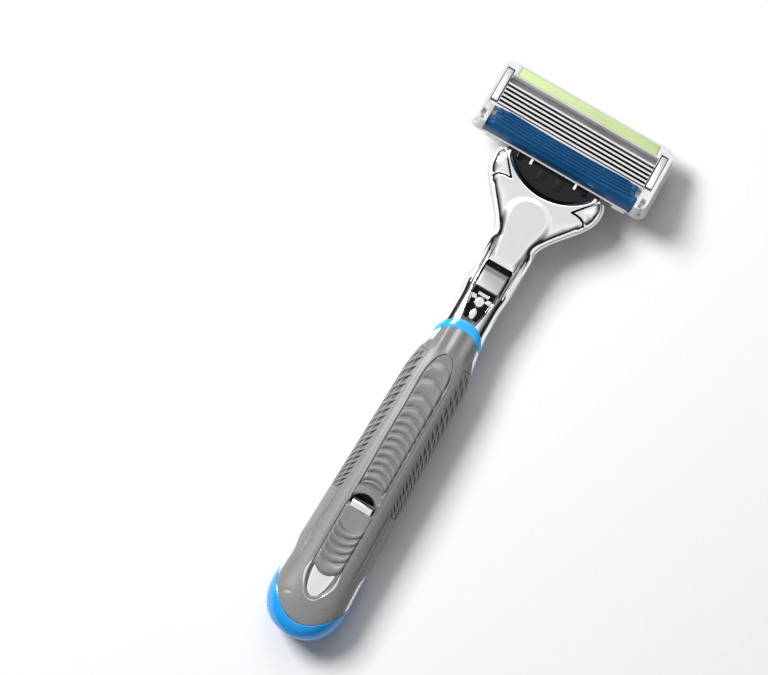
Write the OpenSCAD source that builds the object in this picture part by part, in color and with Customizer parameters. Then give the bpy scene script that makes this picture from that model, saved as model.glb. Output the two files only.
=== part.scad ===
// Cartridge razor, lying on its back: X runs along the blades, +Y from the butt to the head, +Z up.
// The origin is on the surface it lies on, under the middle of its length.
// Inside the modules, y is counted from the butt end, and placed() moves it to the origin.

/* [Handle] */
// Length from the butt end to the collar, at the front
grip_l = 74.3; // [66:0.5:90]
// Greatest width of the grip, near the butt
grip_w = 17.6; // [15:0.2:21]
// Height of the grip's middle
grip_h = 12.8; // [12:0.2:15]
// Width of the neck
neck_w = 10.2; // [9.6:0.2:12]
// Height of the neck
neck_h = 8.4; // [8.4:0.2:9.6]
// Length of the neck and yoke, from the collar to the pivot
head_l = 41.7; // [38:0.5:48]
// Width of the yoke at its widest
yoke_w = 26.8; // [26:0.2:32]

/* [Cartridge] */
// Width over the end walls
cart_w = 42.8; // [40:0.2:52]
// Length of the face, from the guard edge to the strip edge
cart_l = 15.8; // [15.6:0.2:19]
// Thickness of the frame
cart_t = 5; // [4.8:0.1:5.6]
// Lean of the face against the handle at rest, in degrees
face_lean = 22; // [18:1:26]
// How far the cartridge can turn on its pivot, in degrees
pivot_swing = 40; // [10:1:40]
// Distance from one blade edge to the next
blade_pitch = 1; // [0.9:0.02:1.04]

/* [Fits] */
// Radius of the pivot pins
pin_r = 0.9; // [0.7:0.05:1.1]
// Radial running clearance of pins and plunger
run_gap = 0.05; // [0.03:0.01:0.08]
// Clearance beside parts that slide past each other
slide_gap = 0.1; // [0.08:0.01:0.15]
// Travel of the release button
push_travel = 1.1; // [0.8:0.1:1.3]

/* [Hidden] */
$fn = 48;
eps = 0.01;
far = 60;

// Heights and stations along the handle
axis_z = neck_h / 2 + 2.8;
neck_low = axis_z - neck_h / 2;
neck_top = axis_z + neck_h / 2;
collar_l = 2.1;
collar_lean = 0.72;
neck_y = grip_l + collar_l;
pivot_y = grip_l + head_l;
pivot_z = axis_z + 2.6;
yoke_end = pivot_y - 3.6;
lip_y = pivot_y - 8.2;
lip_r = 13.4;
yoke_top = neck_top + 0.8;
fan_start = pivot_y - 21;
fan_full = pivot_y - 6.6;

// Grip
butt_r = 10;
butt_power = 2.3;
slim_w = grip_w - 3.4;
taper_y = grip_l - 14;
split_z = 4.4;
cap_front = 3.6;
cap_lean = 1.3;
pad_half = 3;
pad_deep = 1.4;
thumb_y0 = 35.5;
thumb_y1 = grip_l - 6;
palm_y0 = 15.4;
palm_y1 = 31.7;
side_y0 = 32.7;
side_y1 = grip_l - 7.5;
side_half = 4.6;

// Core, a flat bar in the grip with a narrower tang in the neck
core_half = 4.2;
core_low = 3.2;
core_high = 8.6;
core_y0 = 9;
core_y1 = grip_l - 6;
tang_half = 3.2;
tang_low = axis_z - 3.1;
tang_high = axis_z + 0.1;
tang_y1 = pivot_y - 31;

// Plunger, ejector and dock inside the neck and yoke
cam_d = 4;
cam_r = 1;
cam_angle = pivot_swing / 2;
plunger_z = pivot_z - cam_d * cos(cam_angle);
plunger_tip = pivot_y + cam_d * sin(cam_angle) - cam_r - 0.02;
stem_r = 1.3;
head_r = 1.6;
bulkhead_y0 = pivot_y - 22.5;
bulkhead_y1 = pivot_y - 19.5;
head_front = bulkhead_y0 - 0.1;
head_back = head_front - 2.4;
ejector_low = axis_z + 0.6;
ejector_high = axis_z + 2.3;
ejector_half = 2.6;
ejector_y0 = neck_y + 0.8;
ejector_y1 = pivot_y - 18.5;
ceiling_z = axis_z + 2.6;
button_half = 2.85;
button_y0 = pivot_y - 31.9;
button_l = 4.9;
button_well = button_half + 0.35;
well_y0 = button_y0 - 0.6;
well_y1 = button_y0 + button_l + push_travel + 0.1;
post_y0 = pivot_y - 20.6;
post_l = 0.9;
slot_y0 = pivot_y - 26.6;
slot_half = 1.1;
dock_low = neck_low + 1.1;
dock_high = axis_z + 2.4;
tail_half = 3.9;
block_half = 7.2;
block_y0 = pivot_y - 12.8;
arm_in = 8.6;
arm_out = 11.2;
boss_r = 1.3;
pin_end = arm_out + 1.9;
cover_z = neck_low + 0.9;
cover_inset = 0.8;

// Cartridge, in its own frame: u from the guard edge, w outwards from the face
pivot_u = 2.6;
pivot_w = -3.4;
face_half = cart_w / 2 - 1;
corner_r = 2;
guard_half = 17.9;
guard_l = 4.45;
guard_t = 1.3;
guard_foot = 0.6;
guard_deep = 4;
window_u0 = 4.9;
first_blade_u = 5.6;
blade_half = 19.2;
blade_t = 0.15;
blade_lean = 24;
blade_slope_l = 1;
leg_deep = 2.6;
window_u1 = first_blade_u + 5 * blade_pitch + blade_slope_l + 0.1;
strip_half = 16.8;
strip_u0 = cart_l - 2.95;
strip_u1 = cart_l - 0.55;
strip_deep = 1.5;
clip_in = 18;
clip_w = 1.4;
clip_u0 = 5.3;
clip_u1 = cart_l - 2.2;
clip_t = 0.35;
recess_half = arm_out + 0.3;
rib_half = 2.5;
side_ribs = [-15.9, -8, 8, 15.9];
cam_u = pivot_u + cam_d * sin(cam_angle + face_lean);
cam_w = pivot_w - cam_d * cos(cam_angle + face_lean);

// Middle of the whole razor, which the origin lies under
strip_end_y = pivot_y + (cart_l - pivot_u) * cos(face_lean) - pivot_w * sin(face_lean);
middle_y = strip_end_y / 2;

function smooth(t) = let (c = max(0, min(1, t))) c * c * (3 - 2 * c);
function blend(a, b, t) = a + (b - a) * smooth(t);

// Half width and heights of the handle's skin at y
function butt_round(y) = y >= butt_r ? 1 : pow(1 - pow(1 - y / butt_r, butt_power), 1 / butt_power);
function skin_half(y) =
  y < taper_y
    ? butt_round(y) * (grip_w - (grip_w - slim_w) * pow(max(0, y - butt_r) / (taper_y - butt_r), 0.8)) / 2
    : blend(slim_w, neck_w, (y - taper_y) / (neck_y - taper_y)) / 2;
function skin_low(y) =
  let (flat = -0.6, end = core_low)
    y < butt_r ? end + (flat - end) * butt_round(y) : blend(flat, neck_low, (y - taper_y + 10) / 24);
function skin_high(y) =
  let (end = 8)
    y < butt_r ? end + (grip_h - 0.8 - end) * butt_round(y)
    : y < 42 ? blend(grip_h - 0.8, grip_h, (y - butt_r) / (42 - butt_r))
    : blend(grip_h, neck_top, (y - 42) / (neck_y - 42));

// A closed skin through rings; each station is [y, half width, low z, high z]
ring_n = 36;
ring_power = 2.4;
function ring_point(st, k) =
  let (
    a = 360 * k / ring_n, c = cos(a), s = sin(a),
    mid = (st[2] + st[3]) / 2, high = (st[3] - st[2]) / 2,
    side = st[1] * sign(c) * pow(abs(c), 2 / ring_power),
    up = high * sign(s) * pow(abs(s), 2 / ring_power)
  ) [side, st[0], mid + up];
module loft(stations) {
  last = len(stations) - 1;
  points = [for (st = stations, k = [0:ring_n - 1]) ring_point(st, k)];
  sides = [
    for (j = [0:last - 1], k = [0:ring_n - 1])
      let (a = j * ring_n + k, b = j * ring_n + (k + 1) % ring_n)
        each [[a, b, b + ring_n], [a, b + ring_n, a + ring_n]]
  ];
  ends = [[for (k = [ring_n - 1:-1:0]) k], [for (k = [0:ring_n - 1]) last * ring_n + k]];
  polyhedron(points, concat(sides, ends), convexity = 4);
}

// The handle's skin, cut flat where it rests; grow makes it stand proud
butt_steps = [0.02, 0.3, 0.9, 1.8, 3, 4.6, 7];
module skin(grow = 0) {
  step = (fan_start - butt_r) / 16;
  ys = concat(butt_steps, [for (j = [0:16]) butt_r + j * step]);
  intersection() {
    loft([for (y = ys) [y, skin_half(y) + grow, skin_low(y) - grow, skin_high(y) + grow]]);
    translate([-far, -far, 0]) cube([2 * far, 6 * far, far]);
  }
}

// An outline in y and z, w wide across X
module across(w) rotate([90, 0, 90]) translate([0, 0, -w / 2]) linear_extrude(w, convexity = 6) children();
// The space between two leaning planes, which cross y0 and y1 at height z_ref
module leaning(y0, y1, lean, z_ref) {
  low = -5;
  high = 25;
  a = lean * (low - z_ref);
  b = lean * (high - z_ref);
  across(2 * far) polygon([[y0 + a, low], [y1 + a, low], [y1 + b, high], [y0 + b, high]]);
}
module box(x, y, z) translate([x[0], y[0], z[0]]) cube([x[1] - x[0], y[1] - y[0], z[1] - z[0]]);
module rod(r, y0, y1, z) translate([0, y0, z]) rotate([-90, 0, 0]) cylinder(r = r, h = y1 - y0);
// A round bar along X, from x0 to x1
module crossbar(r, x0, x1, y, z) translate([x0, y, z]) rotate([0, 90, 0]) cylinder(r = r, h = x1 - x0);
module mirrored() {
  children();
  mirror([1, 0, 0]) children();
}
// Places what is drawn from the butt end into the razor's own frame
module placed() translate([0, -middle_y, 0]) children();
// Places the cartridge's own frame on its pivot, at rest
module on_pivot()
  placed() translate([0, pivot_y, pivot_z]) rotate([-face_lean, 0, 0])
    translate([0, -pivot_u, -pivot_w]) children();

module core_shape() {
  box([-core_half, core_half], [core_y0, core_y1], [core_low, core_high]);
  box([-tang_half, tang_half], [core_y1 - eps, tang_y1], [tang_low, tang_high]);
}
module front_of_collar(y) leaning(y, y + far * 2, collar_lean, neck_top);
module behind_collar() leaning(-far, grip_l, collar_lean, neck_top);
module behind_cap() leaning(-far, cap_front, -cap_lean, grip_h);

// Pad outlines in plan: straight sides with a round end
module pad_plan(y0, y1, half) {
  hull() {
    translate([0, y1 - half]) circle(half);
    translate([-half, y0]) square([2 * half, half]);
  }
}
module palm_plan() pad_plan(palm_y0, palm_y1, pad_half);
module thumb_plan() pad_plan(thumb_y0, thumb_y1, pad_half);
module tear_plan() {
  hull() {
    translate([0, palm_y0 - 3.4]) circle(2.8);
    translate([0, palm_y0 - 5.8]) circle(0.6);
  }
}
module side_zone() box([side_half, far], [side_y0, side_y1], [split_z, grip_h - 1.6]);

module butt_cap() placed() color("deepskyblue") difference() {
  intersection() {
    skin();
    behind_cap();
  }
  core_shape();
}
module back_shell() placed() color("gainsboro") difference() {
  intersection() {
    skin();
    behind_collar();
    box([-far, far], [-1, far * 2], [-1, split_z]);
  }
  behind_cap();
  core_shape();
}
module grip_front() placed() color("dimgray") difference() {
  intersection() {
    skin();
    behind_collar();
    box([-far, far], [-1, far * 2], [split_z, far]);
  }
  behind_cap();
  core_shape();
  mirrored() side_zone();
  translate([0, 0, skin_high(palm_y0) - pad_deep]) linear_extrude(far) {
    palm_plan();
    tear_plan();
  }
  translate([0, 0, skin_high(thumb_y1) - pad_deep]) linear_extrude(far) thumb_plan();
}
module grip_side() intersection() {
  skin();
  side_zone();
}
module grip_side_left() placed() color("gray") mirror([1, 0, 0]) grip_side();
module grip_side_right() placed() color("gray") grip_side();
// A pad that fills its recess, with round grooves across its top between the ribs
groove_r = 0.6;
module ribbed_pad(base_z, y0, y1, pitch) {
  difference() {
    intersection() {
      skin(0.35);
      translate([0, 0, base_z]) linear_extrude(far) children();
    }
    for (y = [y0:pitch:y1])
      crossbar(groove_r, -2 * pad_half, 2 * pad_half, y, skin_high(y) + 0.5, $fn = 16);
  }
}
module thumb_pad() placed() color("slategray")
  ribbed_pad(skin_high(thumb_y1) - pad_deep, thumb_y0 + 2, thumb_y1 - 4, 2.2) thumb_plan();
module palm_pad() placed() color("slategray")
  ribbed_pad(skin_high(palm_y0) - pad_deep, palm_y0 + 2.6, palm_y0 + 9, 1.9) difference() {
    palm_plan();
    tear_plan();
  }
module teardrop_inlay() placed() color("silver") intersection() {
  skin(0.2);
  translate([0, 0, skin_high(palm_y0) - pad_deep]) linear_extrude(far) tear_plan();
}
module handle_core() placed() color("silver") core_shape();
module collar_ring() placed() color("deepskyblue") difference() {
  intersection() {
    skin(0.12);
    leaning(grip_l, neck_y, collar_lean, neck_top);
  }
  core_shape();
}

// Plan outline of the yoke's fan, inset all round
fan_steps = 12;
module fan_plan(inset = 0, y0 = fan_start) {
  function half(y) = blend(neck_w, yoke_w, (y - fan_start) / (fan_full - fan_start)) / 2 - inset;
  ys = [for (j = [0:fan_steps]) y0 + (yoke_end - 1 - inset / 2 - y0) * j / fan_steps];
  right = concat([for (y = ys) [half(y), y]], [[half(yoke_end) - 1, yoke_end - inset / 2]]);
  polygon(concat(right, [for (j = [len(right) - 1:-1:0]) [-right[j][0], right[j][1]]]));
}
module fan_profile() polygon([
  [fan_start, neck_low], [yoke_end, neck_low], [yoke_end, yoke_top - 0.3],
  [lip_y, yoke_top], [fan_start, neck_top]
]);
module yoke_outer() {
  intersection() {
    skin();
    front_of_collar(neck_y);
  }
  intersection() {
    linear_extrude(far) fan_plan();
    across(far) fan_profile();
  }
}
module yoke() placed() color("silver") {
  yoke_casting();
  box([-0.9, 0.9], [post_y0, post_y0 + post_l], [ejector_low + 0.1, ceiling_z + eps]);
}
module yoke_casting() difference() {
  yoke_outer();
  core_shape();
  // Seat of the back cover
  translate([0, 0, -1]) linear_extrude(cover_z + 1) cover_plan();
  // Ejector channel, button well and the window behind it
  box([-1, 1] * (ejector_half + slide_gap), [neck_y + 0.4, ejector_y1 + 1], [ejector_low, ceiling_z]);
  box([-1, 1] * (tang_half - 0.6), [neck_y + 0.4, well_y0 + 1], [ejector_low, far]);
  box([-1, 1] * button_well, [well_y0, well_y1], [ejector_high - slide_gap, far]);
  // Plunger chamber and its guide bore
  rod(head_r + 0.15, tang_y1 - eps, bulkhead_y0, plunger_z);
  rod(stem_r + run_gap, bulkhead_y0 - 1, bulkhead_y1 + 1, plunger_z);
  // Dock
  dock = [cover_z - eps, dock_high + slide_gap];
  box([-1, 1] * (tail_half + slide_gap), [bulkhead_y1, block_y0 + 1], dock);
  box([-1, 1] * (block_half + slide_gap), [block_y0 - 0.3, far * 3], dock);
  box([-1, 1] * (arm_out + 0.4), [lip_y - 1.6, far * 3], [dock_high - 2.3, pivot_z + 0.4]);
  translate([0, lip_y + lip_r, dock_high - 1]) cylinder(r = lip_r, h = far, $fn = 96);
}
module cover_plan() {
  fan_plan(cover_inset);
  translate([-neck_w / 2 + cover_inset + 0.6, tang_y1 + 1])
    square([neck_w - 2 * cover_inset - 1.2, fan_start - tang_y1 - 1 + eps]);
}
module yoke_back_cover() placed() color("gainsboro")
  translate([0, 0, neck_low]) linear_extrude(cover_z - neck_low) cover_plan();

module ejector() placed() color("black") {
  difference() {
    box([-1, 1] * ejector_half, [ejector_y0, ejector_y1], [ejector_low, ejector_high]);
    box([-1, 1] * slot_half, [slot_y0, post_y0 + post_l + 0.3], [ejector_low - 1, ejector_high + 1]);
  }
  // Wedge behind the button, narrow at the collar
  translate([0, 0, ejector_high - eps]) linear_extrude(1.3) polygon([
    [-1.5, ejector_y0], [1.5, ejector_y0], [2.3, button_y0 - 1.4],
    [2.3, button_y0], [-2.3, button_y0], [-2.3, button_y0 - 1.4]
  ]);
}
module release_button() placed() color("lightgray") difference() {
  box([-1, 1] * button_half, [button_y0, button_y0 + button_l], [ejector_high, neck_top + 0.9]);
  for (k = [0:2]) crossbar(0.3, -2, 2, button_y0 + 1.4 + k, neck_top + 1);
}

// A coil spring along Y as one swept tube
module spring(y0, y1, z, r, wire_r, turns) {
  sides = 6;
  steps = turns * 14;
  rise = (y1 - y0 - 2 * wire_r) / steps;
  function at(i, k) =
    let (a = 360 * i * turns / steps, b = 360 * k / sides, reach = r - wire_r + wire_r * cos(b))
      [reach * cos(a), y0 + wire_r + i * rise + wire_r * sin(b), z + reach * sin(a)];
  points = [for (i = [0:steps], k = [0:sides - 1]) at(i, k)];
  walls = [
    for (i = [0:steps - 1], k = [0:sides - 1])
      let (a = i * sides + k, b = i * sides + (k + 1) % sides)
        each [[a, b, b + sides], [a, b + sides, a + sides]]
  ];
  ends = [[for (k = [sides - 1:-1:0]) k], [for (k = [0:sides - 1]) steps * sides + k]];
  polyhedron(points, concat(walls, ends), convexity = 10);
}
module ejector_spring() placed() color("silver")
  spring(slot_y0, post_y0, (ejector_low + ceiling_z) / 2, 0.9, 0.13, 7);
module plunger_spring() placed() color("silver") spring(tang_y1, head_back, plunger_z, 1.4, 0.18, 6);
module plunger() placed() color("whitesmoke") {
  rod(head_r, head_back, head_front, plunger_z);
  rod(stem_r, head_front - eps, plunger_tip, plunger_z);
}

module connector() placed() color("#1c1c1c") {
  difference() {
    union() {
      box([-1, 1] * tail_half, [ejector_y1, block_y0 + eps], [dock_low, dock_high]);
      box([-1, 1] * block_half, [block_y0, yoke_end], [dock_low, dock_high]);
      mirrored() box([block_half - eps, arm_out], [lip_y, yoke_end - 0.8], [dock_high - 1.9, dock_high]);
    }
    rod(stem_r + 0.15, ejector_y1 - 1, yoke_end + 1, plunger_z);
  }
  mirrored() {
    box([arm_in, arm_out], [lip_y, pivot_y - 1], [dock_high - 1.9, dock_high]);
    crossbar(boss_r, arm_in, arm_out, pivot_y, pivot_z);
    crossbar(pin_r, arm_out - eps, pin_end, pivot_y, pivot_z);
  }
}

module face_plan(half) hull()
  for (sx = [-1, 1], u = [corner_r, cart_l - corner_r])
    translate([sx * (half - corner_r), u]) circle(corner_r, $fn = 32);
module frame_outer() hull() {
  translate([0, 0, -0.4]) linear_extrude(0.4) face_plan(face_half);
  translate([0, 0, -cart_t]) linear_extrude(1) face_plan(cart_w / 2);
}
// Clearance round the connector's arms, in u and w
module arm_recess() polygon([
  [-1, -4.35], [0.8, -3.9], [0.9, -2.6], [1.6, -1.8], [4.35, -1.8], [4.35, -cart_t - 1], [-1, -cart_t - 1]
]);
module cartridge_frame() on_pivot() color("white") {
  difference() {
    frame_outer();
    box([-1, 1] * guard_half, [window_u0, window_u1], [-far, 1]);
    box([-1, 1] * guard_half, [window_u1 - eps, strip_u0], [-0.8, 1]);
    box([-1, 1] * strip_half, [strip_u0, strip_u1], [-strip_deep, 1]);
    box([-1, 1] * guard_half, [-1, guard_foot], [-guard_deep, 1]);
    box([-1, 1] * guard_half, [-1, guard_l], [-guard_t, 1]);
    mirrored() {
      box([guard_half - eps, clip_in + clip_w + 0.1], [clip_u0 - 0.2, clip_u1 + 0.2], [-leg_deep, 1]);
      for (u = [clip_u0, clip_u1 - clip_t])
        box([clip_in, clip_in + clip_w], [u, u + clip_t], [-far, 1]);
      crossbar(pin_r + run_gap, recess_half - eps, pin_end + 0.3, pivot_u, pivot_w);
    }
    across(2 * recess_half) arm_recess();
  }
  // Ribs that carry the blades, the middle one wide enough for the cam
  window = [window_u0 - eps, window_u1 + eps];
  for (x = side_ribs) box([x - 0.4, x + 0.4], window, [-cart_t, -leg_deep]);
  box([-1, 1] * rib_half, window, [-cart_t, -leg_deep]);
  // Cam that the plunger bears on
  crossbar(cam_r, -rib_half, rib_half, cam_u, cam_w);
  box([-1, 1] * rib_half, [cam_u - 0.8, cam_u + cam_r], [cam_w, -cart_t + eps]);
}

// A bent blade: a sharp sloped edge in the face and a leg standing on the ribs
module blade(n) on_pivot() color("lightsteelblue") {
  edge_u = first_blade_u + (n - 1) * blade_pitch;
  bend_u = edge_u + blade_slope_l * cos(blade_lean) - 0.15;
  bend_w = -blade_slope_l * sin(blade_lean) - 0.05;
  across(2 * blade_half) polygon([
    [edge_u, -0.05], [bend_u, bend_w], [bend_u, -leg_deep],
    [bend_u - blade_t, -leg_deep], [bend_u - blade_t, bend_w - 0.05]
  ]);
}
module blade_1() blade(1);
module blade_2() blade(2);
module blade_3() blade(3);
module blade_4() blade(4);
module blade_5() blade(5);
module blade_6() blade(6);

// A staple over the blades' ends, with its two legs through the frame
module clip() {
  box([clip_in, clip_in + clip_w], [clip_u0, clip_u1], [0, clip_t]);
  for (u = [clip_u0, clip_u1 - clip_t])
    box([clip_in, clip_in + clip_w], [u, u + clip_t], [-cart_t, eps]);
}
module clip_left() on_pivot() color("white") mirror([1, 0, 0]) clip();
module clip_right() on_pivot() color("white") clip();

module guard() on_pivot() color("steelblue") {
  across(2 * guard_half) polygon([
    [0, -guard_deep], [guard_foot, -guard_deep], [guard_foot, -guard_t], [guard_l, -guard_t],
    [guard_l, 0.1], [1.6, -0.1], [0.7, -0.5], [0.15, -1.2], [0, -2]
  ]);
  // Five fins, each lower and a little longer than the one before
  for (k = [0:4]) {
    u = 3.7 - 0.7 * k;
    box([-1, 1] * (guard_half - 3 + 0.2 * k), [u, u + 0.3], [-1, 0.25 - 0.05 * k]);
  }
}
module lubricating_strip() on_pivot() color("palegoldenrod")
  box([-1, 1] * strip_half, [strip_u0, strip_u1], [-strip_deep, 0.15]);

cartridge_frame();
blade_1();
blade_2();
blade_3();
blade_4();
blade_5();
blade_6();
clip_left();
clip_right();
guard();
lubricating_strip();
connector();
plunger();
plunger_spring();
ejector();
release_button();
ejector_spring();
yoke();
yoke_back_cover();
collar_ring();
handle_core();
back_shell();
grip_front();
grip_side_left();
grip_side_right();
thumb_pad();
palm_pad();
teardrop_inlay();
butt_cap();
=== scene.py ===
import math

import bpy
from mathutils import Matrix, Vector


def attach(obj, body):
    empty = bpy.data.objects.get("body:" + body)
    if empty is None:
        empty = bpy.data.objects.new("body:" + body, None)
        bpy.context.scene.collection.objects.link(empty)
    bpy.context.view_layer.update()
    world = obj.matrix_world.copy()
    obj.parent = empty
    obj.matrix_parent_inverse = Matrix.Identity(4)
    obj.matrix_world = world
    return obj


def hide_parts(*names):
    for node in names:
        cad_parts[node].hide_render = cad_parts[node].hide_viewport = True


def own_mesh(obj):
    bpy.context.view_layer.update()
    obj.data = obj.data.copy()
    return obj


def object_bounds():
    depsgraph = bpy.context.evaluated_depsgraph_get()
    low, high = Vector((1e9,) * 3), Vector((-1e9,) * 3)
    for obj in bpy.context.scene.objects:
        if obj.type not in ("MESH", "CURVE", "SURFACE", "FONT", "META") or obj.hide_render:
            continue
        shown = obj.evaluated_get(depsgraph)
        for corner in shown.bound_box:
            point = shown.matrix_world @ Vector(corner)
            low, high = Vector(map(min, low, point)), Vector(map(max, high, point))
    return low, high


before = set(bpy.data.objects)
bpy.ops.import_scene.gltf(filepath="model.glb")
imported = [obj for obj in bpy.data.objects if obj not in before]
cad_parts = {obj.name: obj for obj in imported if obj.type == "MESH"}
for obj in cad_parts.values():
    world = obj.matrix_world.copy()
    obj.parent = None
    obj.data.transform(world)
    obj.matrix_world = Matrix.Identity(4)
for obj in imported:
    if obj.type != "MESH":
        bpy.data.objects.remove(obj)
cad_box = [list(corner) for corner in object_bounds()]

# ---------------------------------------------------------------------------
# Camera: straight above the razor, which lies on its back with its head towards
# the upper right. A long lens from far off keeps the widths true.
MM = 0.001
camera_height = 0.95
field_width = 0.164
sensor_width = 36
turn_in_view = math.radians(30)
razor_right, razor_down = 11.9 * MM, 6.9 * MM
bpy.ops.object.select_all(action="DESELECT")
right = Vector((math.cos(turn_in_view), math.sin(turn_in_view), 0))
up = Vector((-math.sin(turn_in_view), math.cos(turn_in_view), 0))
above = razor_down * up - razor_right * right
bpy.ops.object.camera_add(location=above + Vector((0, 0, camera_height)),
                          rotation=(0, 0, turn_in_view))
camera = bpy.context.object
camera.data.sensor_width = sensor_width
camera.data.lens = sensor_width * camera_height / field_width
camera.data.clip_start, camera.data.clip_end = 0.05, 10
bpy.context.scene.camera = camera

# ---------------------------------------------------------------------------
# Studio: a pale matte floor, one broad soft lamp from the upper left, a fill
# from the head's side, and a sky that is white overhead and dark at the horizon.
bpy.ops.mesh.primitive_plane_add(size=4, location=(0, 0, -0.0002))
floor = bpy.context.object
floor.name = floor.data.name = "studio_floor"
floor_paint = bpy.data.materials.new("studio_floor_paint")
floor_paint.use_nodes = True
floor_shader = floor_paint.node_tree.nodes["Principled BSDF"]
floor_shader.inputs["Base Color"].default_value = (0.93, 0.93, 0.935, 1)
floor_shader.inputs["Roughness"].default_value = 0.9
floor.data.materials.append(floor_paint)


def softbox(name, place, size, power):
    """A square area lamp that looks at the razor."""
    bpy.ops.object.light_add(type="AREA", location=place)
    lamp = bpy.context.object
    lamp.name = name
    lamp.data.shape, lamp.data.size, lamp.data.energy = "SQUARE", size, power
    lamp.rotation_euler = (-Vector(place)).to_track_quat("-Z", "Y").to_euler()


softbox("key_softbox", tuple(-0.38 * right + 0.4 * up + Vector((0, 0, 0.62))), 0.3, 7.4)
softbox("fill_softbox", tuple(0.15 * right + 0.75 * up + Vector((0, 0, 0.8))), 0.6, 2.5)
bpy.context.scene.view_settings.view_transform = "Standard"

world = bpy.data.worlds.new("studio_sky")
bpy.context.scene.world = world
world.use_nodes = True
sky = world.node_tree
sky_place = sky.nodes.new("ShaderNodeTexCoord")
sky_split = sky.nodes.new("ShaderNodeSeparateXYZ")
sky_ramp = sky.nodes.new("ShaderNodeValToRGB")
sky.links.new(sky_place.outputs["Generated"], sky_split.inputs[0])
sky.links.new(sky_split.outputs["Z"], sky_ramp.inputs["Fac"])
sky.links.new(sky_ramp.outputs["Color"], sky.nodes["Background"].inputs["Color"])
sky_bands = ((0.2, 0.006), (0.45, 0.03), (0.7, 0.45), (0.86, 0.98), (0.97, 0.8))
for height, _ in sky_bands[1:-1]:
    sky_ramp.color_ramp.elements.new(height)
for band, (height, glow) in zip(sky_ramp.color_ramp.elements, sky_bands):
    band.position, band.color = height, (glow, glow, glow, 1)
sky_ray = sky.nodes.new("ShaderNodeLightPath")
sky_power = sky.nodes.new("ShaderNodeMapRange")
seen_sky, lighting_sky = 1.0, 0.36
sky_power.inputs["To Min"].default_value = seen_sky
sky_power.inputs["To Max"].default_value = lighting_sky
sky.links.new(sky_ray.outputs["Is Diffuse Ray"], sky_power.inputs["Value"])
sky.links.new(sky_power.outputs["Result"], sky.nodes["Background"].inputs["Strength"])

# ---------------------------------------------------------------------------
# Front of the grip: a shell of satin grey rubber moulded over the core, sunk
# where the two ribbed pads and the side panels sit, with a deep pocket between
# the pads.
grip_w, slim_w, neck_w = 17.6, 14.2, 10.2
grip_h, neck_low, neck_top = 12.8, 2.8, 11.2
butt_r, butt_power, section_power = 10, 2.3, 2.4
crown_y, taper_y, collar_y, neck_y = 42, 60.3, 74.3, 76.4
butt_end = cad_box[0][1] / MM


def smooth(t):
    """0 below 0 and 1 above 1, with a soft step between."""
    t = min(max(t, 0), 1)
    return t * t * (3 - 2 * t)


def between(a, b, t):
    """From a at t = 0 to b at t = 1, softly."""
    return a + (b - a) * smooth(t)


def step_in(distance, wide):
    """0 outside an outline and 1 inside it, over a wall this wide."""
    return smooth(distance / wide + 0.5)


def hump(distance, wide):
    """A bell of height 1 and about this half width."""
    return math.exp(-(distance / wide) ** 2)


def handle_section(s):
    """Half width, middle height and half height of the skin, s mm from the butt end."""
    s = max(s, 0.0)
    bow = 1 if s >= butt_r else (1 - (1 - s / butt_r) ** butt_power) ** (1 / butt_power)
    if s < taper_y:
        half = bow * (grip_w - (grip_w - slim_w) * (max(0, s - butt_r) / (taper_y - butt_r)) ** 0.8) / 2
    else:
        half = between(slim_w, neck_w, (s - taper_y) / (neck_y - taper_y)) / 2
    low = 3.2 - 3.8 * bow if s < butt_r else between(-0.6, neck_low, (s - taper_y + 10) / 24)
    if s < butt_r:
        high = 8 + (grip_h - 8.8) * bow
    elif s < crown_y:
        high = between(grip_h - 0.8, grip_h, (s - butt_r) / (crown_y - butt_r))
    else:
        high = between(grip_h, neck_top, (s - crown_y) / (neck_y - crown_y))
    return half, (low + high) / 2, (high - low) / 2


def on_skin(s, angle, lift=0.0):
    """The skin's point at s and angle, with the front's middle at 90 degrees, lifted along its normal."""
    half, middle, high = handle_section(s)
    c, d = math.cos(math.radians(angle)), math.sin(math.radians(angle))
    x = math.copysign(abs(c) ** (2 / section_power), c)
    z = math.copysign(abs(d) ** (2 / section_power), d)
    n = Vector((math.copysign(abs(x) ** (section_power - 1), x) / max(half, 0.01), 0,
                math.copysign(abs(z) ** (section_power - 1), z) / max(high, 0.01)))
    n.normalize()
    return Vector((x * half, s, middle + z * high)) + lift * n


def skin_angle(s, x):
    """The angle at which the skin's front passes x."""
    half = handle_section(s)[0]
    return math.degrees(math.acos(math.copysign(min(abs(x) / half, 1) ** (section_power / 2), x)))


def smooth_faces(crease):
    """Smooths the active piece's faces, but for edges sharper than crease degrees."""
    bpy.ops.object.shade_smooth_by_angle(angle=math.radians(crease))


def add_wall(piece, thick, crease=35):
    """Gives an open sheet, which is the active piece, a wall inwards and smooths its faces."""
    wall = piece.modifiers.new("wall", "SOLIDIFY")
    wall.thickness, wall.offset = thick * MM, -1
    bpy.ops.object.modifier_apply(modifier=wall.name)
    smooth_faces(crease)


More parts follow.
